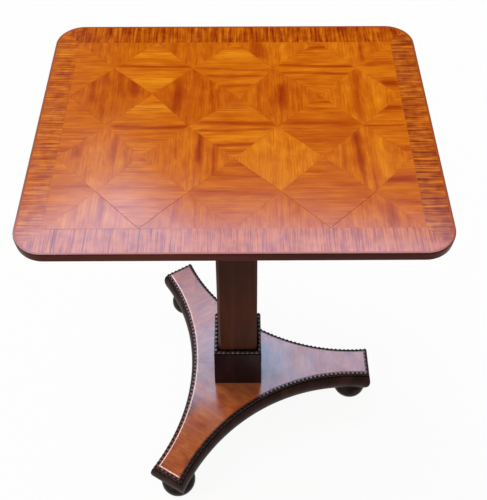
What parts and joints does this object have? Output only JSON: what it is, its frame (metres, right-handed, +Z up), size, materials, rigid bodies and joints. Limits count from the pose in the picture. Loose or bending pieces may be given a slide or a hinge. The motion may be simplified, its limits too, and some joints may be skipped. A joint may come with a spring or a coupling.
{
  "type": "occasional table",
  "caption": "Fixed-top pedestal occasional table: parquetry rectangular top, square tapering column on a beaded plinth, hollow-sided triform platform, bun feet.",
  "frame": {"origin": "on the floor, under the middle of the whole table's box; the column's axis stands 10.8 mm from it towards -X", "axes": "+Z up, +X along the top's long side and along one arm of the platform, -Y towards the camera's side (front)"},
  "size_m": [0.4824, 0.4678, 0.73],
  "materials": {
    "field_veneer": "french-polished mahogany lozenges, high gloss",
    "crossband_veneer": "french-polished cross-grain mahogany, high gloss",
    "top_edge": "dark polished mahogany",
    "top_ground": "plain oiled mahogany ground",
    "under_framing": "plain unpolished mahogany",
    "screws": "old iron wood screws",
    "column_mahogany": "dark red-brown polished mahogany",
    "plinth_mahogany": "near-black polished mahogany",
    "ebonised_beading": "ebonised, gloss",
    "platform_veneer": "french-polished mahogany veneer, gloss",
    "platform_side_veneer": "dark polished mahogany",
    "platform_core": "plain sawn mahogany, unpolished underneath",
    "ebonised_feet": "ebonised, gloss"
  },
  "bodies": {
    "root": {"bearer_left": "under_framing", "bearer_right": "under_framing", "bearer_screws": "screws", "column": "column_mahogany", "crossband_back": "crossband_veneer", "crossband_front": "crossband_veneer", "crossband_left": "crossband_veneer", "crossband_right": "crossband_veneer", "end_beading_back_left": "ebonised_beading", "end_beading_front_left": "ebonised_beading", "end_beading_right": "ebonised_beading", "end_veneer_back_left": "platform_side_veneer", "end_veneer_front_left": "platform_side_veneer", "end_veneer_right": "platform_side_veneer", "foot_back_left": "ebonised_feet", "foot_front_left": "ebonised_feet", "foot_right": "ebonised_feet", "half_lozenges_cross_grain": "field_veneer", "half_lozenges_long_grain": "field_veneer", "head_block": "under_framing", "head_block_screws": "screws", "lipping_back": "top_edge", "lipping_front": "top_edge", "lipping_left": "top_edge", "lipping_right": "top_edge", "lozenges_cross_grain": "field_veneer", "lozenges_long_grain": "field_veneer", "platform_core": "platform_core", "platform_leaf_back_left": "platform_veneer", "platform_leaf_front_left": "platform_veneer", "platform_leaf_right": "platform_veneer", "plinth_beading_back": "ebonised_beading", "plinth_beading_front": "ebonised_beading", "plinth_beading_left": "ebonised_beading", "plinth_beading_right": "ebonised_beading", "plinth_block": "plinth_mahogany", "side_beading_back": "ebonised_beading", "side_beading_front": "ebonised_beading", "side_beading_left": "ebonised_beading", "side_veneer_back": "platform_side_veneer", "side_veneer_front": "platform_side_veneer", "side_veneer_left": "platform_side_veneer", "tenon_wedge": "under_framing", "top_board": "top_ground"}
  },
  "joints": []
}
